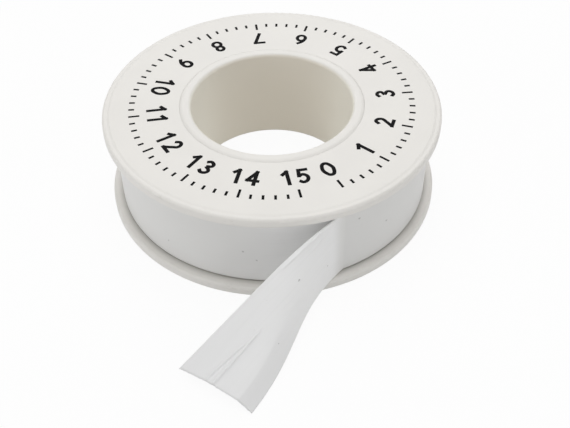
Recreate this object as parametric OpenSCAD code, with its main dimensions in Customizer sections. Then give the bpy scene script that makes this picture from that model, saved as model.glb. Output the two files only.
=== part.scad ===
// Thread seal tape roll: a two-part moulded spool, the wound tape and its loose tail.
// Millimetres. +Z is the spool's axis, and the underside of the lower flange lies on z = 0.

/* [Spool] */
// How far both flanges stand out over the last turn of the tape
rim_over = 1.5; // [0.8:0.1:4]
// Thickness of each flange
flange_t = 1.7; // [1.4:0.1:2.4]
// Rounding of the edges of each flange's rim
rim_round = 0.45; // [0.2:0.05:0.6]
// How far in from the rim each flange's outer face steps down
rim_band = 1.15; // [0.8:0.05:1.4]
// Depth of that step
rim_step = 0.08; // [0.04:0.02:0.2]
// Diameter of the straight bore
bore_d = 25.4; // [22:0.2:27]
// Wall of the hub tube, which belongs to the lower flange
tube_wall = 1.1; // [0.8:0.1:1.6]
// Wall of the sleeve, which belongs to the upper flange and carries the tape
sleeve_wall = 1.0; // [0.8:0.1:1.6]
// How far the hub tube's lip hooks out over the upper flange
lip_over = 0.7; // [0.4:0.05:0.9]
// How far the lip stands proud of the upper flange
lip_rise = 0.2; // [0.1:0.05:0.4]
// Depth of the lip's seat in the upper flange
lip_seat = 0.6; // [0.4:0.05:0.9]
// Rounding of the bore's upper mouth
mouth_round = 0.6; // [0.3:0.1:0.7]
// Rounding of the bore's lower mouth
foot_round = 0.4; // [0.2:0.05:0.8]
// Radius of the lip's soft outer shoulder
lip_round = 1.0; // [0.6:0.1:1.2]

/* [Tape] */
// Width of the tape
tape_w = 12; // [10:0.5:19]
// Thickness of the tape
tape_t = 0.1; // [0.08:0.01:0.2]
// Length of tape on the spool
tape_len = 15000; // [5000:500:20000]
// Thickness that one layer takes up in the winding, drawn tight
layer_t = 0.0844; // [0.06:0.0002:0.2]
// Room between the tape's edge and each flange
side_gap = 0.3; // [0.1:0.05:0.5]

/* [Tail] */
// Where the tail leaves the winding, from +X, in degrees
tail_angle = -66; // [-180:1:180]
// How far the lower edge turns out from the winding at the crease where it leaves, in degrees
low_kink = 22.3; // [10:0.1:30]
// How far the upper edge turns out from the winding at that crease, in degrees
top_kink = 16.6; // [5:0.1:30]
// How far the lower corner of the torn end lies along the tangent where the tail leaves
tail_along_len = 22.25; // [18:0.05:30]
// How far that corner lies out from the same tangent
tail_out = 16.25; // [12:0.05:20]
// How far the lower edge has swung outwards at its end, in degrees
tail_turn = 31.4; // [0:0.1:40]
// How far the torn end leans over from upright, in degrees
tail_tilt = 84.7; // [60:0.1:90]
// How far the upper corner of the torn end runs on past the lower one
tail_slant = 0.15; // [0:0.05:3]
// Length over which the lower edge settles on the table
low_lay = 12.55; // [9:0.05:15]
// Height that the lower edge still has to fall where that stretch begins
low_fall = 0.1; // [0.05:0.05:2]
// How far the upper edge runs straight on from the winding
top_run = 11.55; // [7:0.05:14]
// How far the upper edge falls over that run
top_drop = 0.9; // [0:0.05:3]
// Length over which the upper edge settles towards its end
top_lay = 17.3; // [12:0.05:20]
// Height that the upper edge still has to fall where that stretch begins
top_fall = 6.45; // [3:0.05:8]
// How far the upper edge swings in against the lower edge at its end, in degrees
top_swing = 14.5; // [0:0.1:20]
// Height of the arch across the middle of the tail
tail_arch = 1.1; // [0.5:0.1:3]
// Height of the soft ridge at the torn end
ridge_h = 1.3; // [0.4:0.05:1.6]
// Height of the two pleats at the torn end
pleat_h = 0.12; // [0.06:0.02:0.4]

/* [Hidden] */
$fn = 96;

// Clearances
slip = 0.05;
lip_slip = 0.02;
turn_clear = 0.05;
overrun = 1;

// Spool
bore_r = bore_d / 2;
tube_r = bore_r + tube_wall;
sleeve_in_r = tube_r + slip;
sleeve_r = sleeve_in_r + sleeve_wall;
lip_r = tube_r + lip_over;
seat_r = lip_r + lip_slip;
// Widths of the lip's shoulder and of the sloping step near each rim
lip_run = sqrt(pow(lip_round, 2) - pow(lip_round - lip_rise, 2));
step_run = 0.35;
tape_gap = tape_w + 2 * side_gap;
upper_z = flange_t + tape_gap;
spool_h = upper_z + flange_t;
lip_z = spool_h - lip_seat;
top_z = spool_h + lip_rise;

// Wound tape
tape_z = flange_t + side_gap;
core_in_r = sleeve_r + slip;
winding_r = sqrt(pow(core_in_r, 2) + tape_len * layer_t / PI);
turn_in_r = winding_r - tape_t;
core_r = turn_in_r - turn_clear;
flange_r = winding_r + rim_over;
// Arc left open at the far end of the last turn, where it dives under the leaving tail
turn_open_len = 4;
open_angle = turn_open_len / winding_r * 180 / PI;
turn_angle = 360 - open_angle;

// Tail: each of its edges follows a curve from the winding to the torn end
tail_r = winding_r - tape_t / 2;
// How far outside the rim the lower edge starts to fall, and its run up to there
rim_clear = 4.55;
rim_run = sqrt(pow(flange_r + rim_clear, 2) - pow(tail_r * cos(low_kink), 2)) - tail_r * sin(low_kink);
tail_rows = 28;
tail_cols = 20;
// How far the torn end dips in the middle, as a share of the tail's length
tear_share = 0.005;
// Where across the tape the arch is highest at the torn end, where its crest starts to drift there,
// and where the ridge begins
crest_share = -0.6;
crest_from_share = 0.3;
ridge_from_share = 0.45;
// How round the crest of the arch is near the winding and at the torn end, and where that changes
round_share = 1;
sharp_share = 0.1;
sharp_from_share = 0.3;
sharp_to_share = 0.7;
// Pleats: where they lie across the tape, how wide they are and where they begin
pleat_shares = [0.1, 0.31];
pleat_width_share = 0.1;
pleat_from_share = 0.6;

up = [0, 0, 1];
leave_n = [cos(tail_angle), sin(tail_angle), 0];
leave_t = [sin(tail_angle), -cos(tail_angle), 0];
function swung(turn) = cos(turn) * leave_t + sin(turn) * leave_n;
low_t = swung(tail_turn);
top_t = swung(tail_turn - top_swing);
end_across = cos(tail_tilt) * up + sin(tail_tilt) * cross(low_t, up);
low_0 = tail_r * leave_n + tape_z * up;
low_3 = (tail_r + tail_out) * leave_n + tail_along_len * leave_t + tape_t * up;
top_0 = low_0 + tape_w * up;
top_3 = low_3 + tape_w * end_across + tail_slant * low_t;
low_1 = low_0 + rim_run * swung(low_kink);
low_2 = low_3 - low_lay * low_t + low_fall * up;
top_1 = top_0 + top_run * swung(top_kink) - top_drop * up;
top_2 = top_3 - top_lay * top_t + top_fall * up;
low_edge = [low_0, low_1, low_2, low_3];
top_edge = [top_0, top_1, top_2, top_3];

function unit(v) = v / norm(v);
function clamp01(x) = min(1, max(0, x));
function ease(x) = x * x * (3 - 2 * x);
function ramp(x, from, to) = ease(clamp01((x - from) / (to - from)));

// Place on an edge at the share u of its length, and its direction there
function edge_at(edge, u) =
    pow(1 - u, 3) * edge[0] + 3 * pow(1 - u, 2) * u * edge[1]
    + 3 * (1 - u) * u * u * edge[2] + pow(u, 3) * edge[3];
function edge_dir(edge, u) =
    pow(1 - u, 2) * (edge[1] - edge[0]) + 2 * (1 - u) * u * (edge[2] - edge[1])
    + u * u * (edge[3] - edge[2]);

// Share of the length at which the torn end lies, for a place v across the tape from -1 to 1
function end_share(v) = 1 - tear_share * (1 - v * v);

// Arch across the tape: its height, its crest, and its rise and slope at the place v
function arch_h(u) = tail_arch * pow(sin(180 * u), 2) + ridge_h * ramp(u, ridge_from_share, 1);
function crest(u) = crest_share * ramp(u, crest_from_share, 1);
function flank(v, crest_v) = v < crest_v ? 1 + crest_v : crest_v - 1;
function fallen(v, crest_v) = (crest_v - v) / flank(v, crest_v);
function softness(u) =
    round_share + (sharp_share - round_share) * ramp(u, sharp_from_share, sharp_to_share);
function full_fall(soft) = norm([1, soft]) - soft;
function arch_rise(u, v) =
    let (soft = softness(u))
    1 - (norm([fallen(v, crest(u)), soft]) - soft) / full_fall(soft);
function arch_slope(u, v) =
    let (soft = softness(u), down = fallen(v, crest(u)))
    down / norm([down, soft]) / full_fall(soft) / flank(v, crest(u));

function bell(x) = exp(-x * x);
function pleat(u, v) = pleat_h * ramp(u, pleat_from_share, 1)
    * max([for (at = pleat_shares) bell((v - at) / pleat_width_share)]);

// A point of the tail: u along it, v across it, side -1 or 1 for its inner or outer face
function tail_point(u, v, side) =
    let (low = edge_at(low_edge, u),
         chord = edge_at(top_edge, u) - low,
         across = unit(chord),
         face = unit(cross(across, edge_dir(low_edge, u) + edge_dir(top_edge, u))),
         lift = arch_h(u) * arch_rise(u, v) + pleat(u, v),
         slope = arch_h(u) * arch_slope(u, v) * 2 / norm(chord))
    low + (v + 1) / 2 * chord + lift * face + side * tape_t / 2 * unit(face - slope * across);

function tail_grid(side) = [
    for (row = [0:tail_rows]) for (col = [0:tail_cols])
        let (v = 2 * col / tail_cols - 1)
        tail_point(row / tail_rows * end_share(v), v, side)];

tail_out_face = tail_grid(1);
tail_in_face = tail_grid(-1);
tail_mid = [for (row = [0:tail_rows]) tail_point(row / tail_rows * end_share(0), 0, 0)];
function run_length(points) = len(points) < 2 ? 0
    : norm(points[1] - points[0]) + run_length([for (i = [1:len(points) - 1]) points[i]]);
function plan(p) = [p.x, p.y];

// The far end of the last turn, in plan and over this many degrees, against the tail's inner face
turn_end_angle = 40;
turn_end = [for (back = [0:turn_end_angle])
    let (a = tail_angle - open_angle - back)
    winding_r * [cos(a), sin(a)]];
least_gap = min([for (p = tail_in_face) min([for (q = turn_end) norm(plan(p) - q)])]);
echo(str("tail length ", run_length(tail_mid), " mm, least gap of the tape to itself ", least_gap, " mm"));

// What a rounded corner takes off: the corner at [r, z] points along [r_way, z_way]
module corner_waste(r, z, rad, r_way, z_way) {
    translate([r, z])
        mirror([r_way > 0 ? 1 : 0, 0])
            mirror([0, z_way > 0 ? 1 : 0])
                difference() {
                    translate([-overrun, -overrun])
                        square(rad + overrun);
                    translate([rad, rad])
                        circle(rad);
                }
}

// A flange from the inner radius in_r outwards, with its outer face up
module flange_profile(in_r) {
    step_r = flange_r - rim_band;
    rim_z = flange_t - rim_step;
    difference() {
        translate([in_r, 0])
            square([flange_r - in_r, flange_t]);
        polygon([
            [step_r, flange_t],
            [step_r + step_run, rim_z],
            [flange_r + overrun, rim_z],
            [flange_r + overrun, flange_t + overrun],
            [step_r, flange_t + overrun]]);
        corner_waste(flange_r, rim_z, rim_round, 1, 1);
        corner_waste(flange_r, 0, rim_round, 1, -1);
    }
}

module spool_base_profile() {
    difference() {
        union() {
            translate([0, flange_t])
                mirror([0, 1])
                    flange_profile(bore_r);
            translate([bore_r, 0])
                square([tube_wall, top_z]);
            translate([bore_r, lip_z])
                square([lip_r - bore_r, top_z - lip_z]);
        }
        corner_waste(bore_r, 0, foot_round, -1, -1);
        corner_waste(bore_r, top_z, mouth_round, -1, 1);
        corner_waste(lip_r + lip_round - lip_run, top_z, lip_round, 1, 1);
    }
}

module spool_base() {
    color("whitesmoke")
        rotate_extrude()
            spool_base_profile();
}

module upper_flange_profile() {
    difference() {
        union() {
            translate([0, upper_z])
                flange_profile(sleeve_in_r);
            translate([sleeve_in_r, flange_t])
                square([sleeve_wall, spool_h - flange_t]);
        }
        translate([0, lip_z])
            square([seat_r, lip_seat + overrun]);
    }
}

module upper_flange() {
    color("white")
        rotate_extrude()
            upper_flange_profile();
}

module tape_winding() {
    color("gainsboro")
        rotate_extrude()
            translate([core_in_r, tape_z])
                square([core_r - core_in_r, tape_w]);
}

module tape_outer_turn() {
    color("lightgray")
        rotate([0, 0, tail_angle])
            rotate_extrude(angle = turn_angle)
                translate([turn_in_r, tape_z])
                    square([tape_t, tape_w]);
}

module tape_tail() {
    wide = tail_cols + 1;
    count = len(tail_out_face);
    last = tail_rows * wide;
    function quad(a, b, c, d) = [[a, b, c], [a, c, d]];
    faces = concat(
        [for (row = [0:tail_rows - 1]) for (col = [0:tail_cols - 1])
            let (i = row * wide + col)
            each quad(i, i + 1, i + wide + 1, i + wide)],
        [for (row = [0:tail_rows - 1]) for (col = [0:tail_cols - 1])
            let (i = count + row * wide + col)
            each quad(i, i + wide, i + wide + 1, i + 1)],
        [for (row = [0:tail_rows - 1])
            let (i = row * wide)
            each quad(i, i + wide, count + i + wide, count + i)],
        [for (row = [0:tail_rows - 1])
            let (i = row * wide + tail_cols)
            each quad(i, count + i, count + i + wide, i + wide)],
        [for (col = [0:tail_cols - 1])
            each quad(col, count + col, count + col + 1, col + 1)],
        [for (col = [0:tail_cols - 1])
            let (i = last + col)
            each quad(i, i + 1, count + i + 1, count + i)]);
    color("whitesmoke")
        polyhedron(points = concat(tail_out_face, tail_in_face), faces = faces);
}

spool_base();
upper_flange();
tape_winding();
tape_outer_turn();
tape_tail();
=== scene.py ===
import math
import random
from collections import namedtuple

import bmesh
import bpy
from mathutils import Matrix, Vector, noise


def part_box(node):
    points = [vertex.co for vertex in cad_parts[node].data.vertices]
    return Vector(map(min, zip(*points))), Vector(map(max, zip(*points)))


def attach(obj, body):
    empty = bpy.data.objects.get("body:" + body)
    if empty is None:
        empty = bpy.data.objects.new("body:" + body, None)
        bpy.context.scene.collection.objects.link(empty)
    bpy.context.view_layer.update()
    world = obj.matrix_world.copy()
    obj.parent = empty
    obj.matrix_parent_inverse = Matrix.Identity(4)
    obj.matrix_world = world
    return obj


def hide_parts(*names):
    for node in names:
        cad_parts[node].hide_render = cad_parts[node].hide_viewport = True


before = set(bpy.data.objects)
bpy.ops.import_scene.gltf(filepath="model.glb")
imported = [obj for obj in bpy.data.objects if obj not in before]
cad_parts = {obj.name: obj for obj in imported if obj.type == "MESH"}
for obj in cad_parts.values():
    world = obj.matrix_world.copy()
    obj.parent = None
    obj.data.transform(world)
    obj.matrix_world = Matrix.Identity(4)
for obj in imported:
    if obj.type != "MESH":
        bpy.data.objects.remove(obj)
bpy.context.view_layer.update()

bl_info = {
    "name": "Thread Seal Tape Roll",
    "version": (1, 0, 0),
    "blender": (4, 5, 0),
    "location": "3D View > Sidebar > Tape Roll",
    "description": "Dresses the packed solids of a thread seal tape roll",
    "category": "Object",
}

MM = 0.001
UP = Vector((0, 0, 1))
WHITE = (1, 1, 1, 1)

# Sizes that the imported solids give
FLANGE_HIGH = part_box("upper_flange")[1]
TURN_LOW, TURN_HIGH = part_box("tape_outer_turn")
RIM_RADIUS, FLANGE_TOP = FLANGE_HIGH.x, FLANGE_HIGH.z
WINDING_RADIUS, TAPE_LOW = TURN_HIGH.y, TURN_LOW.z

# Size of the bore, as its mount gives it
BORE_RADIUS = 12.7 * MM

# Noise patterns: cells in a metre along each axis, detail, roughness, and where each shows
Pattern = namedtuple("Pattern", "cells detail roughness shows", defaults=(None,))
MOTTLE = Pattern((140, 140, 140), 3, 0.5, (0.3, 0.7))
PATCHES = Pattern((420, 420, 1050), 4, 0.65, (0.58, 0.74))
STREAKS = Pattern((60, 2600, 1), 3, 0.6, (0.45, 0.75))
FINE_STREAKS = Pattern((700, 9000, 1), 2, 0.5)
CLOUDS = Pattern((260, 260, 260), 3, 0.5, (0.5, 0.8))
SPECKS = Pattern((1100, 1100, 1100), 0, 0.5, (0.828, 0.852))
LAYERS = Pattern((9000, 2600, 1), 2, 0.5, (0.4, 0.7))
INK_FILM = Pattern((1800, 1800, 1800), 3, 0.5, (0.45, 0.8))
NOISE_MEAN = 0.5

PLASTIC_IOR, FILM_IOR, INK_IOR = 1.49, 1.35, 1.15


def length(name, about, default):
    return bpy.props.FloatProperty(
        name=name, description=about, default=default, unit="LENGTH", precision=6)


def angle(name, about, degrees):
    return bpy.props.FloatProperty(
        name=name, description=about, default=math.radians(degrees), subtype="ANGLE")


def share(name, about, default):
    return bpy.props.FloatProperty(
        name=name, description=about, default=default, min=0, max=1, subtype="FACTOR")


def tint(name, about, default):
    return bpy.props.FloatVectorProperty(
        name=name, description=about, default=default, min=0, max=1, subtype="COLOR")


class SpoolFinish(bpy.types.PropertyGroup):
    """Finish of the two spool mouldings."""

    plastic: tint("Plastic", "Colour of the moulded plastic", (0.832, 0.812, 0.774))
    scuffed: tint("Scuffs", "Colour of the handling marks on the rims", (0.68, 0.66, 0.62))
    # Painted shade: a darker colour laid in the corner of the lower flange beside the winding and
    # at the foot of the rims by the floor, where shade falls.
    grimed: tint("Grime", "Colour of the dust on the lower flange", (0.52, 0.51, 0.47))
    # Painted light and shade in the bore: its wall is painted lighter and warmer than the plastic
    # for light thrown about inside it, and darker at the back, where less light reaches.
    bore: tint("Bore", "Colour of the yellowed wall of the bore", (0.905, 0.879, 0.8))
    bore_back: tint("Bore's back", "Colour of the most yellowed wall", (0.788, 0.742, 0.658))
    back_from: share("Back from", "Where the back begins, in radii of the bore", 0.3)
    # The bore's painted light and shade stays full this far out, then runs out over the lip.
    bore_full: length("Bore full", "How far out the yellow stays full", 0.02 * MM)
    bore_blend: length("Bore blend", "How far the yellow runs out over the lip", 0.4 * MM)
    clouded: share("Clouded", "Brightness of the clouds in the plastic", 0.975)
    scuffing: share("Scuffing", "Strength of the handling marks", 0.5)
    rim_width: length("Rim width", "Width of the rim that gets scuffed", 1.3 * MM)
    # Painted shade in the corner beside the winding: its strength, reach and blend, and the hub
    # wall and ledge that bound it.
    corner_dust: share("Corner dust", "Strength of the dust beside the winding", 0.5)
    dust_reach: length("Dust reach", "How far the dust lies out from the winding", 0.9 * MM)
    dust_blend: length("Dust blend", "Length over which the dust fades out", 1 * MM)
    hub_wall: length("Hub wall", "Wall round the bore that stays clean", 4 * MM)
    ledge_drop: length("Ledge drop", "How far the dusty ledge lies below the tape", 0.4 * MM)
    # Painted shade at the foot of the rims by the floor: its strength, and the heights over which
    # it fades.
    foot_dust: share("Foot dust", "Strength of the dust at the foot of the rim", 0.25)
    foot_full: length("Foot full", "Height up to which that dust stays full", 0.1 * MM)
    foot: length("Foot", "Height that the dust reaches up the rim", 0.8 * MM)
    roughness: share("Roughness", "Mean roughness of the moulded skin", 0.46)
    unevenness: share("Unevenness", "How far the roughness varies", 0.12)
    grain: length("Grain", "Size of the moulded skin's grain", 0.35 * MM)
    grain_depth: length("Grain depth", "Depth of the grain", 0.02 * MM)
    grain_strength: share("Grain strength", "How strongly the grain shows", 0.25)


class TapeFinish(bpy.types.PropertyGroup):
    """Finish of the tape's film."""

    # Painted light: the free film of the tail is painted lighter than the same film in the winding,
    # for light that passes through the thin film, and it fades to the torn end's colour.
    free: tint("Free film", "Colour of the free film", (0.95, 0.95, 0.945))
    wound: tint("Wound film", "Colour of the film in the winding", (0.8, 0.796, 0.78))
    thinned: tint("Faded film", "Colour towards the torn end", (0.825, 0.825, 0.825))
    drawn: tint("Drawn streaks", "Colour of the streaks along the tape", (0.76, 0.76, 0.755))
    streaking: share("Streaking", "Strength of the streaks", 0.14)
    clouding: share("Clouding", "Strength of the clouds among the streaks", 0.1)
    layering: share("Layering", "Strength of the layers seen on edge", 0.7)
    layer_depth: length("Layer depth", "Depth of the layers seen on edge", 0.03 * MM)
    layer_strength: share("Layer strength", "How strongly their depth shows", 0.3)
    speck: tint("Specks", "Colour of the dust on the film", (0.3, 0.29, 0.28))
    specking: share("Specking", "Strength of the dust on the film", 0.45)
    roughness: share("Roughness", "Mean roughness of the film", 0.5)
    unevenness: share("Unevenness", "How far the roughness varies from cloud to cloud", 0.15)
    fine_unevenness: share("Fine unevenness", "How far it varies from streak to streak", 0.08)
    fine_share: share("Fine share", "Share of the fine streaks in the film's relief", 0.3)
    relief_depth: length("Relief depth", "Depth of the streaks", 0.02 * MM)
    relief_strength: share("Relief strength", "How strongly their depth shows", 0.12)


class TapeShape(bpy.types.PropertyGroup):
    """Sizes of the tape."""

    width: length("Width", "Width of the tape", 12 * MM)
    thickness: length("Thickness", "Thickness of the tape", 0.1 * MM)
    lower_edge: length("Lower edge", "Height of the tape's lower edge", TAPE_LOW)
    inner_radius: length("Inner radius", "Radius inside the first turn", 14.9 * MM)
    outer_radius: length("Outer radius", "Radius over the last turn", WINDING_RADIUS)
    rim_radius: length("Rim radius", "Radius of the flanges", RIM_RADIUS)
    rim_clear: length("Rim clearance", "How far outside the rim the edge falls", 4.55 * MM)
    layer_step: length("Layer step", "How far the last turn dives under the tail", 0.13 * MM)
    leave_angle: angle("Leaving angle", "Where the tail leaves the winding, from +X", -66)
    low_kink: angle("Lower kink", "How far the lower edge turns out from the winding", 22.3)
    top_kink: angle("Upper kink", "How far the upper edge turns out from the winding", 16.6)
    along: length("Along", "Reach of the torn end along the leaving line", 22.25 * MM)
    out: length("Out", "Reach of the torn end out from the leaving line", 16.25 * MM)
    turn: angle("Turn", "How far the lower edge swings outwards", 31.4)
    tilt: angle("Tilt", "How far the torn end leans over from upright", 84.7)
    slant: length("Slant", "How far the upper corner of the torn end runs on", 0.15 * MM)
    low_lay: length("Lower lay", "Length over which the lower edge settles", 12.55 * MM)
    low_fall: length("Lower fall", "Height that the lower edge falls there", 0.1 * MM)
    top_run: length("Upper run", "How far the upper edge runs straight on", 11.55 * MM)
    top_drop: length("Upper drop", "How far the upper edge falls over that run", 0.9 * MM)
    top_lay: length("Upper lay", "Length over which the upper edge settles", 17.3 * MM)
    top_fall: length("Upper fall", "Height that the upper edge falls there", 6.45 * MM)
    top_swing: angle("Upper swing", "How far the upper edge swings in at its end", 14.5)
    arch: length("Arch", "Height of the arch across the middle of the tail", 1.1 * MM)
    ridge: length("Ridge", "Height of the soft ridge at the torn end", 1.3 * MM)
    pleat: length("Pleat", "Height of the pleats at the torn end", 0.12 * MM)


class ScalePrint(bpy.types.PropertyGroup):
    """The printed ring of plain numbers and ticks."""

    ink: tint("Ink", "Colour of the ink", (0.005, 0.005, 0.0055))
    thin_ink: tint("Thin ink", "Colour of the ink where it is thin", (0.01, 0.01, 0.011))
    roughness: share("Roughness", "Mean roughness of the ink", 0.6)
    unevenness: share("Unevenness", "How far the roughness varies", 0.2)
    relief_depth: length("Relief depth", "Depth of the uneven ink", 0.01 * MM)
    relief_strength: share("Relief strength", "How strongly its depth shows", 0.1)
    number_radius: length("Number radius", "Radius at the middle of the numbers", 18 * MM)
    number_height: length("Number height", "Height of a numeral", 3.2 * MM)
    pen: length("Pen", "Width of a numeral's strokes", 0.58 * MM)
    tick_radius: length("Tick radius", "Radius at the outer ends of the ticks", 22.4 * MM)
    tick_long: length("Long tick", "Length of a numbered tick", 1.7 * MM)
    tick_short: length("Short tick", "Length of a tick between", 0.9 * MM)
    tick_width: length("Tick width", "Width of a tick", 0.38 * MM)
    thickness: length("Ink thickness", "How far the ink stands on the flange", 0.012 * MM)
    first_angle: angle("First angle", "Where the ring of numbers begins, from +X", -64)
    number_step: length("Number step", "Way round the winding between numbers", 10 * MM)
    numbers: bpy.props.IntProperty(
        name="Numbers", description="How many numbers the ring has", default=16)


class StageSetting(bpy.types.PropertyGroup):
    """Camera, floor and light."""

    lens: bpy.props.FloatProperty(
        name="Lens", description="Focal length of the camera", default=57.494, unit="CAMERA")
    sensor: bpy.props.FloatProperty(
        name="Sensor", description="Width of the camera's sensor", default=36, unit="CAMERA")
    near: length("Near", "Where the camera's view begins", 10 * MM)
    distance: length("Distance", "From the camera to the middle of the roll", 148.79 * MM)
    middle: length("Middle", "Height of the point that the camera turns about", 8 * MM)
    elevation: angle("Elevation", "Height of the camera over the horizon", 39.546)
    pan: angle("Pan", "Sideways aim of the camera", 0.677)
    tilt: angle("Tilt", "Upward aim of the camera", 4.577)
    roll: angle("Roll", "Roll of the camera", 1.143)
    sky: share("Sky", "Strength of the even light all round", 0.32)
    floor: tint("Floor", "Colour of the floor", (0.9, 0.9, 0.9))
    shadow: share("Shadow", "How much of the floor's shadow shows", 0.07)


class Value:
    """A socket of numbers: each operator on it adds a Math node to its shader."""

    def __init__(self, shader, socket):
        self.shader = shader
        self.socket = socket

    def _math(self, operation, first, second):
        settings = {"operation": operation}
        return self.shader.value("ShaderNodeMath", settings, {0: first, 1: second})

    def __add__(self, other):
        return self._math("ADD", self, other)

    def __radd__(self, other):
        return self._math("ADD", other, self)

    def __sub__(self, other):
        return self._math("SUBTRACT", self, other)

    def __rsub__(self, other):
        return self._math("SUBTRACT", other, self)

    def __mul__(self, other):
        return self._math("MULTIPLY", self, other)

    def __pow__(self, other):
        return self._math("POWER", self, other)

    def most(self, other):
        return self._math("MAXIMUM", self, other)

    def ramp(self, low, high):
        """0 below low, 1 above high, and smooth between."""
        settings = {"interpolation_type": "SMOOTHSTEP"}
        inputs = {
            "Value": self, "From Min": low, "From Max": high, "To Min": 0.0, "To Max": 1.0}
        return self.shader.value("ShaderNodeMapRange", settings, inputs)


class Shader:
    """The nodes of a material or of the world, under construction."""

    def __init__(self, owner):
        self.owner = owner
        self.owner.use_nodes = True
        self.tree = self.owner.node_tree
        self.tree.nodes.clear()

    def node(self, kind, settings=None, inputs=None):
        """Adds a node, sets it, and then feeds its sockets with values, sockets or Values."""
        made = self.tree.nodes.new(kind)
        for key, value in (settings or {}).items():
            setattr(made, key, value)
        for key, value in (inputs or {}).items():
            self.feed(made.inputs[key], value)
        return made

    def feed(self, socket, value):
        if isinstance(value, Value):
            value = value.socket
        if isinstance(value, bpy.types.NodeSocket):
            self.tree.links.new(value, socket)
        else:
            socket.default_value = value

    def value(self, kind, settings, inputs):
        return Value(self, self.node(kind, settings, inputs).outputs[0])

    def noise(self, place, pattern):
        cells = self.node("ShaderNodeMapping", None, {"Vector": place, "Scale": pattern.cells})
        inputs = {
            "Vector": cells.outputs[0], "Scale": 1.0,
            "Detail": pattern.detail, "Roughness": pattern.roughness}
        return self.value("ShaderNodeTexNoise", {"noise_dimensions": "3D"}, inputs)

    def object_place(self):
        """The object's own coordinates, as a socket and as radius, y and z."""
        place = self.node("ShaderNodeTexCoord").outputs["Object"]
        axes = self.node("ShaderNodeSeparateXYZ", None, {0: place})
        x, y, z = (Value(self, axes.outputs[i]) for i in range(3))
        return place, (x * x + y * y) ** 0.5, y, z

    def mix(self, amount, first, second):
        settings = {"data_type": "RGBA", "blend_type": "MIX"}
        made = self.node("ShaderNodeMix", settings, {0: amount, 6: first, 7: second})
        return made.outputs[2]

    def bump(self, height, strength, distance):
        inputs = {"Height": height, "Strength": strength, "Distance": distance}
        return self.node("ShaderNodeBump", None, inputs).outputs[0]

    def finish(self, **inputs):
        named = {key.replace("_", " "): value for key, value in inputs.items()}
        surface = self.node("ShaderNodeBsdfPrincipled", None, named)
        self.node("ShaderNodeOutputMaterial", None, {"Surface": surface.outputs[0]})
        return self.owner


def opaque(colour):
    return (*colour, 1.0)


def moulded_plastic(finish):
    """White plastic: soft clouds, scuffed rims, painted shade in the corner beside the winding and
    at the foot of the rims, and painted light and shade in the bore.
    """
    shader = Shader(bpy.data.materials.new("moulded_plastic"))
    place, radius, y, z = shader.object_place()
    grain = shader.noise(place, MOTTLE._replace(cells=(1 / finish.grain,) * 3))
    rim = radius.ramp(RIM_RADIUS - finish.rim_width, RIM_RADIUS)
    scuff = shader.noise(place, PATCHES).ramp(*PATCHES.shows) * rim
    plastic = Vector(finish.plastic)
    clouds = shader.noise(place, MOTTLE).ramp(*MOTTLE.shows)
    clouded = shader.mix(clouds, opaque(plastic), opaque(plastic * finish.clouded))
    worn = shader.mix(scuff * finish.scuffing, clouded, opaque(finish.scuffed))
    # Painted shade: the plastic is darkened in the corner of the lower flange beside the winding
    # and at the foot of the rims by the floor.
    hub, ledge = BORE_RADIUS + finish.hub_wall, TAPE_LOW - finish.ledge_drop
    outside_hub = radius.ramp(hub, hub + finish.dust_blend)
    near_tape = 1 - radius.ramp(WINDING_RADIUS, WINDING_RADIUS + finish.dust_reach)
    on_ledge = z.ramp(ledge - finish.dust_blend / 2, ledge)
    under_tape = 1 - z.ramp(TAPE_LOW, TAPE_LOW + finish.dust_blend)
    corner = outside_hub * near_tape * on_ledge * under_tape
    foot = rim * (1 - z.ramp(finish.foot_full, finish.foot))
    dust_and_shade = corner * finish.corner_dust + foot * finish.foot_dust
    shaded = shader.mix(dust_and_shade, worn, opaque(finish.grimed))
    # Painted light and shade in the bore: a lighter, warmer wall, darker towards the back.
    in_bore = 1 - radius.ramp(
        BORE_RADIUS + finish.bore_full, BORE_RADIUS + finish.bore_blend)
    at_back = y.ramp(finish.back_from * BORE_RADIUS, BORE_RADIUS)
    lit_and_shaded = shader.mix(at_back, opaque(finish.bore), opaque(finish.bore_back))
    return shader.finish(
        Base_Color=shader.mix(in_bore, shaded, lit_and_shaded),
        Roughness=finish.roughness + (grain - NOISE_MEAN + scuff) * finish.unevenness,
        IOR=PLASTIC_IOR,
        Normal=shader.bump(grain, finish.grain_strength, finish.grain_depth))


def tape_film(film, width, root, end):
    """Thin white film, streaked along its run and painted lighter on the tail than in the winding:
    it leaves the winding at root and ends at end.
    """
    shader = Shader(bpy.data.materials.new("tape_film"))
    place = shader.node("ShaderNodeTexCoord").outputs["UV"]
    run = Value(shader, shader.node("ShaderNodeSeparateXYZ", None, {0: place}).outputs[0])
    streaks = shader.noise(place, STREAKS)
    fine = shader.noise(place, FINE_STREAKS)
    clouds = shader.noise(place, CLOUDS)
    specks = shader.noise(place, SPECKS).ramp(*SPECKS.shows)
    # Painted light: the film is painted lighter where the tail leaves the winding and at the
    # strip's start under it, then fades towards the torn end.
    leaving = run.ramp(root, root + width / 4)
    starting = 1 - run.ramp(width / 2, width * 3 / 2)
    unshaded = shader.mix(leaving.most(starting), opaque(film.wound), opaque(film.free))
    faded = shader.mix(run.ramp(root + width / 2, end), unshaded, opaque(film.thinned))
    streaked = streaks.ramp(*STREAKS.shows) * film.streaking
    drawn = streaked + clouds.ramp(*CLOUDS.shows) * film.clouding
    colour = shader.mix(drawn, faded, opaque(film.drawn))
    cloudy = (clouds - NOISE_MEAN) * film.unevenness
    relief = streaks * (1 - film.fine_share) + fine * film.fine_share
    return shader.finish(
        Base_Color=shader.mix(specks * film.specking, colour, opaque(film.speck)),
        Roughness=film.roughness + cloudy + (fine - NOISE_MEAN) * film.fine_unevenness,
        IOR=FILM_IOR,
        Normal=shader.bump(relief, film.relief_strength, film.relief_depth))


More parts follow.
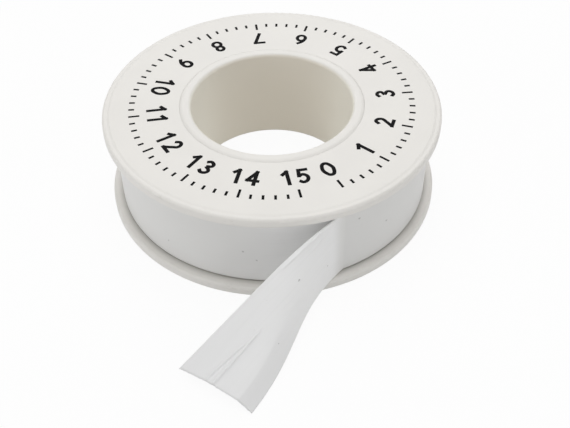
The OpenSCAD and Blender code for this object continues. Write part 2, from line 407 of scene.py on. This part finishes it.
def wound_edge(film):
    """The same film seen on edge: fine rings of layers about the axis."""
    shader = Shader(bpy.data.materials.new("wound_edge"))
    place, radius, _, z = shader.object_place()
    flat = shader.node("ShaderNodeCombineXYZ", None, {0: radius, 1: z}).outputs[0]
    layers = shader.noise(flat, LAYERS)
    clouds = shader.noise(place, CLOUDS)
    seen = layers.ramp(*LAYERS.shows) * film.layering
    return shader.finish(
        Base_Color=shader.mix(seen, opaque(film.wound), opaque(film.drawn)),
        Roughness=film.roughness + (clouds - NOISE_MEAN) * film.unevenness,
        IOR=FILM_IOR,
        Normal=shader.bump(layers, film.layer_strength, film.layer_depth))


def printing_ink(mark):
    """Dense black ink with a faintly uneven film."""
    shader = Shader(bpy.data.materials.new("printing_ink"))
    place = shader.node("ShaderNodeTexCoord").outputs["Object"]
    film = shader.noise(place, INK_FILM)
    faded = film.ramp(*INK_FILM.shows)
    return shader.finish(
        Base_Color=shader.mix(faded, opaque(mark.ink), opaque(mark.thin_ink)),
        Roughness=mark.roughness + (film - NOISE_MEAN) * mark.unevenness,
        IOR=INK_IOR,
        Normal=shader.bump(film, mark.relief_strength, mark.relief_depth))


def add_piece(name, bm, material, body, slot, *nodes):
    """Makes an object of a bmesh, which rides on a body and may stand for nodes of the solids."""
    mesh = bpy.data.meshes.new(name)
    bm.to_mesh(mesh)
    bm.free()
    mesh.materials.append(material)
    piece = bpy.data.objects.new(name, mesh)
    bpy.context.scene.collection.objects.link(piece)
    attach(piece, body)
    if nodes:
        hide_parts(*nodes)
    return piece


class TAPEROLL_OT_finish_spool(bpy.types.Operator):
    """Gives both spool mouldings their plastic"""

    bl_idname = "taperoll.finish_spool"
    bl_label = "Finish Spool"
    bl_options = {"REGISTER", "UNDO"}

    def execute(self, context):
        plastic = moulded_plastic(context.scene.taperoll_spool)
        for node in ("spool_base", "upper_flange"):
            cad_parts[node].material_slots[0].material = plastic
        return {"FINISHED"}


class TAPEROLL_OT_wind_tape(bpy.types.Operator):
    """Winds the tape under its last turn, with bundles of layers that wander sideways"""

    bl_idname = "taperoll.wind_tape"
    bl_label = "Wind Tape"
    bl_options = {"REGISTER", "UNDO"}

    bundles = 40
    wander = 0.09 * MM
    wander_seed = 12
    spin_steps = 192
    weld = 0.001 * MM

    def execute(self, context):
        tape = context.scene.taperoll_tape
        inner = tape.inner_radius
        outer = tape.outer_radius - 2 * tape.thickness - tape.layer_step / 2
        chance = random.Random(self.wander_seed)
        step = (outer - inner) / self.bundles
        low, high = [], []
        for i in range(self.bundles):
            shift = chance.uniform(-self.wander, self.wander)
            for radius in (inner + i * step, inner + (i + 1) * step):
                low.append((radius, 0, tape.lower_edge + shift))
                high.append((radius, 0, tape.lower_edge + tape.width + shift))
        bm = bmesh.new()
        ring = [bm.verts.new(p) for p in low + high[::-1]]
        edges = [bm.edges.new((a, b)) for a, b in zip(ring, ring[1:] + ring[:1])]
        bmesh.ops.spin(
            bm, geom=ring + edges, axis=UP, cent=(0, 0, 0), angle=math.tau,
            steps=self.spin_steps, use_merge=True)
        bmesh.ops.remove_doubles(bm, verts=bm.verts, dist=self.weld)
        bmesh.ops.recalc_face_normals(bm, faces=bm.faces)
        film = wound_edge(context.scene.taperoll_film)
        add_piece("wound_tape", bm, film, "roll", "tape_film", "tape_winding")
        return {"FINISHED"}


def ease(x):
    x = min(1, max(0, x))
    return x * x * (3 - 2 * x)


def ramp(x, low, high):
    return ease((x - low) / (high - low))


class TailRoute:
    """The loose tail: each of its edges follows a curve from the winding to the torn end."""

    # Depth of the torn curve and of its ragged edge, as shares of the tail's length
    tear, ragged = 0.005, 0.004
    # Where across the tail the crest ends, and where along it the crest and the ridge begin
    crest, crest_from, ridge_from = -0.6, 0.3, 0.45
    # How round the crest is at first and at last, and where along the tail it sharpens
    round_crest, sharp_crest, sharp_from, sharp_to = 1.0, 0.1, 0.3, 0.7
    # Where across the tail the pleats lie, their width, and where along it they begin
    pleats, pleat_width, pleat_from = (0.1, 0.31), 0.1, 0.6
    # Waves across the tear: how many to half a width, where their noise begins, and their part
    tear_waves = ((14, 0, 0.7), (41, 3, 0.3))
    # Fine creases: where each begins, along and across, and ends, its blend, height and width
    creases = (
        (0.70, 0.15, 1.02, 0.08, 0.05, 0.20 * MM, 0.025),
        (0.78, 0.18, 1.01, 0.33, 0.05, 0.18 * MM, 0.025),
        (0.84, 0.17, 1.02, 0.20, 0.05, 0.09 * MM, 0.025),
        (0.02, 0.94, 0.50, 0.91, 0.08, 0.20 * MM, 0.04),
        (0.08, 0.76, 0.28, 0.66, 0.06, 0.12 * MM, 0.03),
        (0.30, -0.20, 0.62, -0.05, 0.12, 0.05 * MM, 0.04),
    )

    def __init__(self, tape):
        self.tape = tape
        self.radius = tape.outer_radius - tape.thickness / 2
        self.out = Vector((math.cos(tape.leave_angle), math.sin(tape.leave_angle), 0))
        self.along = Vector((self.out.y, -self.out.x, 0))
        past_rim = tape.rim_radius + tape.rim_clear
        nearest = self.radius * math.cos(tape.low_kink)
        rim_run = math.sqrt(past_rim ** 2 - nearest ** 2) - self.radius * math.sin(tape.low_kink)
        low_way, top_way = self.swung(tape.turn), self.swung(tape.turn - tape.top_swing)
        over = math.cos(tape.tilt) * UP + math.sin(tape.tilt) * low_way.cross(UP)
        low = self.radius * self.out + tape.lower_edge * UP
        top = low + tape.width * UP
        low_end = (
            (self.radius + tape.out) * self.out + tape.along * self.along + tape.thickness * UP)
        top_end = low_end + tape.width * over + tape.slant * low_way
        self.low_edge = (
            low, low + rim_run * self.swung(tape.low_kink),
            low_end - tape.low_lay * low_way + tape.low_fall * UP, low_end)
        self.top_edge = (
            top, top + tape.top_run * self.swung(tape.top_kink) - tape.top_drop * UP,
            top_end - tape.top_lay * top_way + tape.top_fall * UP, top_end)

    def swung(self, turn):
        """The way along the winding, swung outwards by an angle."""
        return math.cos(turn) * self.along + math.sin(turn) * self.out

    def end_share(self, v):
        """Where the torn end lies at v across the tail, as a share of the tail's length."""
        rough = sum(
            part * noise.noise((waves * v, start, 0)) for waves, start, part in self.tear_waves)
        return 1 - self.tear * (1 - v * v) - self.ragged * (1 + rough) / 2

    def edge_at(self, edge, u):
        a, b, c, d = edge
        w = 1 - u
        return w ** 3 * a + 3 * w * w * u * b + 3 * w * u * u * c + u ** 3 * d

    def edge_direction(self, edge, u):
        a, b, c, d = edge
        w = 1 - u
        return w * w * (b - a) + 2 * w * u * (c - b) + u * u * (d - c)

    def lift_at(self, u, v):
        """How far the film stands off the straight line between its edges."""
        tape = self.tape
        arch = tape.arch * math.sin(math.pi * u) ** 2
        arch += tape.ridge * ramp(u, self.ridge_from, 1)
        crest = self.crest * ramp(u, self.crest_from, 1)
        fallen = (crest - v) / (1 + crest if v < crest else crest - 1)
        sharp = ramp(u, self.sharp_from, self.sharp_to)
        soft = self.round_crest + (self.sharp_crest - self.round_crest) * sharp
        sunk = (math.hypot(fallen, soft) - soft) / (math.hypot(1, soft) - soft)
        bells = [math.exp(-((v - at) / self.pleat_width) ** 2) for at in self.pleats]
        pleats = tape.pleat * ramp(u, self.pleat_from, 1) * max(bells)
        return arch * (1 - sunk) + pleats + self.creases_at(u, v)

    def creases_at(self, u, v):
        lift = 0.0
        for from_u, from_v, to_u, to_v, blend, height, width in self.creases:
            if from_u < u < to_u:
                middle = from_v + (to_v - from_v) * (u - from_u) / (to_u - from_u)
                ends = ramp(u, from_u, from_u + blend) * ramp(-u, -to_u, blend - to_u)
                lift += height * ends * math.exp(-((v - middle) / width) ** 2)
        return lift

    def point(self, u, v):
        """A point of the film's middle: u along the tail, v across it from -1 to 1."""
        low = self.edge_at(self.low_edge, u)
        chord = self.edge_at(self.top_edge, u) - low
        along = self.edge_direction(self.low_edge, u) + self.edge_direction(self.top_edge, u)
        outwards = chord.cross(along).normalized()
        return low + (v + 1) / 2 * chord + self.lift_at(u, v) * outwards


class TAPEROLL_OT_lead_tape(bpy.types.Operator):
    """Makes the last turn and the loose tail as one strip of film"""

    bl_idname = "taperoll.lead_tape"
    bl_label = "Lead Tape"
    bl_options = {"REGISTER", "UNDO"}

    turn_segments = 180
    tail_segments = 120
    cross_segments = 96
    edge_wander = 0.07 * MM
    wander_waves = 9
    # How far from 0 the grid's middle line may lie
    hair = 1e-6

    def turn_point(self, tape, radius, part, v):
        """A point of the last turn, which climbs from under the tail to where the tail leaves."""
        bearing = tape.leave_angle + math.tau * (1 - part)
        here = radius - tape.layer_step * (1 - part)
        drift = noise.noise((self.wander_waves * part, 0, 0))
        sway = self.edge_wander * math.sin(math.pi * part) * drift
        height = tape.lower_edge + tape.width / 2 * (v + 1) + sway
        return Vector((here * math.cos(bearing), here * math.sin(bearing), height))

    def execute(self, context):
        tape = context.scene.taperoll_tape
        route = TailRoute(tape)
        segments = self.turn_segments + self.tail_segments
        bm = bmesh.new()
        bmesh.ops.create_grid(
            bm, x_segments=segments, y_segments=self.cross_segments, size=1)
        places = {}
        for vert in bm.verts:
            i = round((vert.co.x + 1) / 2 * segments)
            v = vert.co.y
            if i <= self.turn_segments:
                vert.co = self.turn_point(tape, route.radius, i / self.turn_segments, v)
            else:
                u = (i - self.turn_segments) / self.tail_segments * route.end_share(v)
                vert.co = route.point(u, v)
            places[vert] = (i, v)
        middle = {i: vert.co for vert, (i, v) in places.items() if abs(v) < self.hair}
        runs = [0.0]
        for i in range(segments):
            runs.append(runs[-1] + (middle[i + 1] - middle[i]).length)
        uv = bm.loops.layers.uv.new("strip")
        for face in bm.faces:
            face.smooth = True
            for loop in face.loops:
                i, v = places[loop.vert]
                loop[uv].uv = (runs[i], tape.width / 2 * (v + 1))
        bmesh.ops.recalc_face_normals(bm, faces=bm.faces)
        film = tape_film(
            context.scene.taperoll_film, tape.width, runs[self.turn_segments], runs[-1])
        strip = add_piece(
            "tape_strip", bm, film, "tape_lead", "tape_film", "tape_outer_turn", "tape_tail")
        wall = strip.modifiers.new("film", "SOLIDIFY")
        wall.thickness = tape.thickness
        wall.offset = 0
        return {"FINISHED"}


class TAPEROLL_OT_print_scale(bpy.types.Operator):
    """Prints a ring of plain numbers and ticks on the upper flange"""

    bl_idname = "taperoll.print_scale"
    bl_label = "Print Scale"
    bl_options = {"REGISTER", "UNDO"}

    ticks_between = 5
    pen_steps = 2
    stroke_steps = 6
    # Width of a figure and the gap between two of them, as shares of their height
    figure_width, spacing = 0.6, 0.3
    # Strokes of each figure, as shares of its height: handles, closed or not, and points
    figures = {
        "0": (("AUTO", True, ((0.3, 1), (0.56, 0.72), (0.56, 0.28),
                              (0.3, 0), (0.04, 0.28), (0.04, 0.72))),),
        "1": (("VECTOR", False, ((0.12, 0.8), (0.36, 1), (0.36, 0))),),
        "2": (("AUTO", False, ((0.05, 0.75), (0.3, 1), (0.54, 0.73), (0.36, 0.4), (0.05, 0))),
              ("VECTOR", False, ((0.05, 0), (0.57, 0)))),
        "3": (("AUTO", False, ((0.05, 0.85), (0.3, 1), (0.53, 0.77), (0.24, 0.54))),
              ("AUTO", False, ((0.24, 0.54), (0.56, 0.28), (0.29, 0), (0.03, 0.16)))),
        "4": (("VECTOR", False, ((0.44, 0), (0.44, 1), (0.03, 0.28), (0.6, 0.28))),),
        "5": (("VECTOR", False, ((0.53, 1), (0.13, 1), (0.08, 0.53))),
              ("AUTO", False, ((0.08, 0.53), (0.33, 0.62), (0.56, 0.31), (0.29, 0), (0.03, 0.14)))),
        "6": (("AUTO", True, ((0.3, 0.6), (0.56, 0.3), (0.3, 0), (0.04, 0.3))),
              ("AUTO", False, ((0.04, 0.3), (0.14, 0.66), (0.44, 1)))),
        "7": (("VECTOR", False, ((0.03, 1), (0.57, 1), (0.22, 0))),),
        "8": (("AUTO", True, ((0.3, 1), (0.52, 0.77), (0.3, 0.54), (0.08, 0.77))),
              ("AUTO", True, ((0.3, 0.54), (0.56, 0.27), (0.3, 0), (0.04, 0.27)))),
        "9": (("AUTO", True, ((0.3, 0.4), (0.04, 0.7), (0.3, 1), (0.56, 0.7))),
              ("AUTO", False, ((0.56, 0.7), (0.46, 0.34), (0.16, 0)))),
    }

    def add_stroke(self, curve, handles, closed, knots):
        stroke = curve.splines.new("BEZIER")
        stroke.bezier_points.add(len(knots) - 1)
        stroke.use_cyclic_u = closed
        for made, place in zip(stroke.bezier_points, knots):
            made.co = place
            made.handle_left_type = made.handle_right_type = handles

    def numeral(self, text, pen):
        """A number as a mesh of unit height, centred, drawn with a round pen of the given width."""
        curve = bpy.data.curves.new("numeral", "CURVE")
        curve.dimensions = "3D"
        curve.bevel_depth = pen / 2
        curve.bevel_resolution = self.pen_steps
        curve.use_fill_caps = True
        curve.resolution_u = self.stroke_steps
        step = self.figure_width + self.spacing
        start = -(len(text) * step - self.spacing) / 2
        for place, figure in enumerate(text):
            shift = Vector((start + place * step, -0.5, 0))
            for handles, closed, points in self.figures[figure]:
                knots = [shift + Vector((x, y, 0)) for x, y in points]
                if handles == "AUTO":
                    self.add_stroke(curve, handles, closed, knots)
                    continue
                for first, second in zip(knots, knots[1:]):
                    reach = pen / 2 * (second - first).normalized()
                    self.add_stroke(curve, handles, False, (first - reach, second + reach))
        holder = bpy.data.objects.new("numeral", curve)
        bpy.context.scene.collection.objects.link(holder)
        graph = bpy.context.evaluated_depsgraph_get()
        mesh = bpy.data.meshes.new_from_object(holder.evaluated_get(graph))
        bpy.data.objects.remove(holder)
        bpy.data.curves.remove(curve)
        return mesh

    def execute(self, context):
        mark = context.scene.taperoll_print
        centre = Matrix.Translation((0, 0, FLANGE_TOP + mark.thickness / 2))
        pitch = mark.number_step / context.scene.taperoll_tape.outer_radius
        size = mark.number_height - mark.pen
        depth = mark.thickness * size / mark.pen
        bm = bmesh.new()
        for number in range(mark.numbers):
            bearing = mark.first_angle + number * pitch
            place = (
                centre @ Matrix.Rotation(bearing + math.pi / 2, 4, "Z")
                @ Matrix.Translation((0, -mark.number_radius, 0))
                @ Matrix.Diagonal((size, size, depth, 1)))
            mesh = self.numeral(str(number), mark.pen / size)
            mesh.transform(place)
            bm.from_mesh(mesh)
            bpy.data.meshes.remove(mesh)
        for tick in range((mark.numbers - 1) * self.ticks_between + 1):
            bearing = mark.first_angle + tick * pitch / self.ticks_between
            reach = mark.tick_short if tick % self.ticks_between else mark.tick_long
            place = (
                centre @ Matrix.Rotation(bearing, 4, "Z")
                @ Matrix.Translation((mark.tick_radius - reach / 2, 0, 0))
                @ Matrix.Diagonal((reach, mark.tick_width, mark.thickness, 1)))
            bmesh.ops.create_cube(bm, size=1, matrix=place)
        add_piece("scale_print", bm, printing_ink(mark), "roll", "print_ink")
        return {"FINISHED"}


class TAPEROLL_OT_set_stage(bpy.types.Operator):
    """Sets the camera, the floor and the light"""

    bl_idname = "taperoll.set_stage"
    bl_label = "Set Stage"
    bl_options = {"REGISTER", "UNDO"}

    floor_size = 3.0
    floor_drop = 0.05 * MM
    # Name, place, size and power of each soft box, which faces the roll
    soft_boxes = (
        ("top_box", (0.0, 0.0, 0.60), 0.6, 1.6),
        ("left_box", (-0.55, -0.26, 0.22), 0.5, 0.98),
        ("right_box", (0.50, -0.25, 0.30), 0.5, 0.62),
        ("back_box", (0.0, 0.55, 0.40), 0.5, 1.3),
    )

    def add_camera(self, stage):
        camera = bpy.data.cameras.new("photo_camera")
        camera.lens = stage.lens
        camera.sensor_width = stage.sensor
        camera.clip_start = stage.near
        eye = bpy.data.objects.new("photo_camera", camera)
        back = Vector((0, -math.cos(stage.elevation), math.sin(stage.elevation)))
        right = Vector((1, 0, 0))
        level = Matrix((right, back.cross(right), back)).to_4x4()
        aim = (
            Matrix.Rotation(stage.roll, 4, "Z") @ Matrix.Rotation(stage.tilt, 4, "X")
            @ Matrix.Rotation(stage.pan, 4, "Y") @ level)
        stand = stage.distance * back + stage.middle * UP
        eye.matrix_world = Matrix.Translation(stand) @ aim.transposed()
        bpy.context.scene.collection.objects.link(eye)
        bpy.context.scene.camera = eye

    def add_floor(self, stage):
        shader = Shader(bpy.data.materials.new("studio_floor"))
        rays = shader.node("ShaderNodeLightPath").outputs
        direct, glossy, passing = (
            Value(shader, rays["Is %s Ray" % kind])
            for kind in ("Camera", "Glossy", "Transmission"))
        amount = direct.most(glossy).most(passing) * (1 - stage.shadow)
        lit = shader.node("ShaderNodeBsdfDiffuse", None, {"Color": opaque(stage.floor)})
        white = shader.node("ShaderNodeEmission", None, {"Color": WHITE, "Strength": 1.0})
        both = shader.node("ShaderNodeMixShader", None, {
            0: amount, 1: lit.outputs[0], 2: white.outputs[0]})
        shader.node("ShaderNodeOutputMaterial", None, {"Surface": both.outputs[0]})
        bm = bmesh.new()
        bmesh.ops.create_grid(bm, x_segments=1, y_segments=1, size=self.floor_size)
        bmesh.ops.translate(bm, verts=bm.verts, vec=(0, 0, -self.floor_drop))
        mesh = bpy.data.meshes.new("studio_floor")
        bm.to_mesh(mesh)
        bm.free()
        mesh.materials.append(shader.owner)
        floor = bpy.data.objects.new("studio_floor", mesh)
        bpy.context.scene.collection.objects.link(floor)

    def add_light(self, stage):
        for name, place, size, power in self.soft_boxes:
            lamp = bpy.data.lights.new(name, "AREA")
            lamp.shape = "SQUARE"
            lamp.size = size
            lamp.energy = power
            box = bpy.data.objects.new(name, lamp)
            aim = Vector((0, 0, stage.middle)) - Vector(place)
            turn = aim.to_track_quat("-Z", "Y").to_matrix().to_4x4()
            box.matrix_world = Matrix.Translation(place) @ turn
            bpy.context.scene.collection.objects.link(box)
        shader = Shader(bpy.data.worlds.new("studio"))
        rays = shader.node("ShaderNodeLightPath")
        even = shader.node("ShaderNodeBackground", None, {"Color": WHITE, "Strength": stage.sky})
        white = shader.node("ShaderNodeBackground", None, {"Color": WHITE, "Strength": 1.0})
        both = shader.node("ShaderNodeMixShader", None, {
            0: rays.outputs["Is Camera Ray"], 1: even.outputs[0], 2: white.outputs[0]})
        shader.node("ShaderNodeOutputWorld", None, {"Surface": both.outputs[0]})
        bpy.context.scene.world = shader.owner

    def execute(self, context):
        stage = context.scene.taperoll_stage
        context.scene.view_settings.view_transform = "Standard"
        self.add_camera(stage)
        self.add_floor(stage)
        self.add_light(stage)
        return {"FINISHED"}


GROUPS = {
    "taperoll_spool": SpoolFinish,
    "taperoll_film": TapeFinish,
    "taperoll_tape": TapeShape,
    "taperoll_print": ScalePrint,
    "taperoll_stage": StageSetting,
}
STEPS = (
    TAPEROLL_OT_set_stage,
    TAPEROLL_OT_finish_spool,
    TAPEROLL_OT_wind_tape,
    TAPEROLL_OT_lead_tape,
    TAPEROLL_OT_print_scale,
)


class TAPEROLL_PT_panel(bpy.types.Panel):
    """Lists the steps and the sizes of the tape roll"""

    bl_label = "Tape Roll"
    bl_idname = "TAPEROLL_PT_panel"
    bl_space_type = "VIEW_3D"
    bl_region_type = "UI"
    bl_category = "Tape Roll"

    def draw(self, context):
        for step in STEPS:
            self.layout.operator(step.bl_idname)
        for name, group in GROUPS.items():
            box = self.layout.box()
            for key in group.__annotations__:
                box.prop(getattr(context.scene, name), key)


def register():
    for name, group in GROUPS.items():
        bpy.utils.register_class(group)
        setattr(bpy.types.Scene, name, bpy.props.PointerProperty(type=group))
    for step in STEPS:
        bpy.utils.register_class(step)
    bpy.utils.register_class(TAPEROLL_PT_panel)


def unregister():
    bpy.utils.unregister_class(TAPEROLL_PT_panel)
    for step in reversed(STEPS):
        bpy.utils.unregister_class(step)
    for name, group in GROUPS.items():
        delattr(bpy.types.Scene, name)
        bpy.utils.unregister_class(group)


def main():
    register()
    bpy.ops.taperoll.set_stage()
    bpy.ops.taperoll.finish_spool()
    bpy.ops.taperoll.wind_tape()
    bpy.ops.taperoll.lead_tape()
    bpy.ops.taperoll.print_scale()


if __name__ == "__main__":
    main()
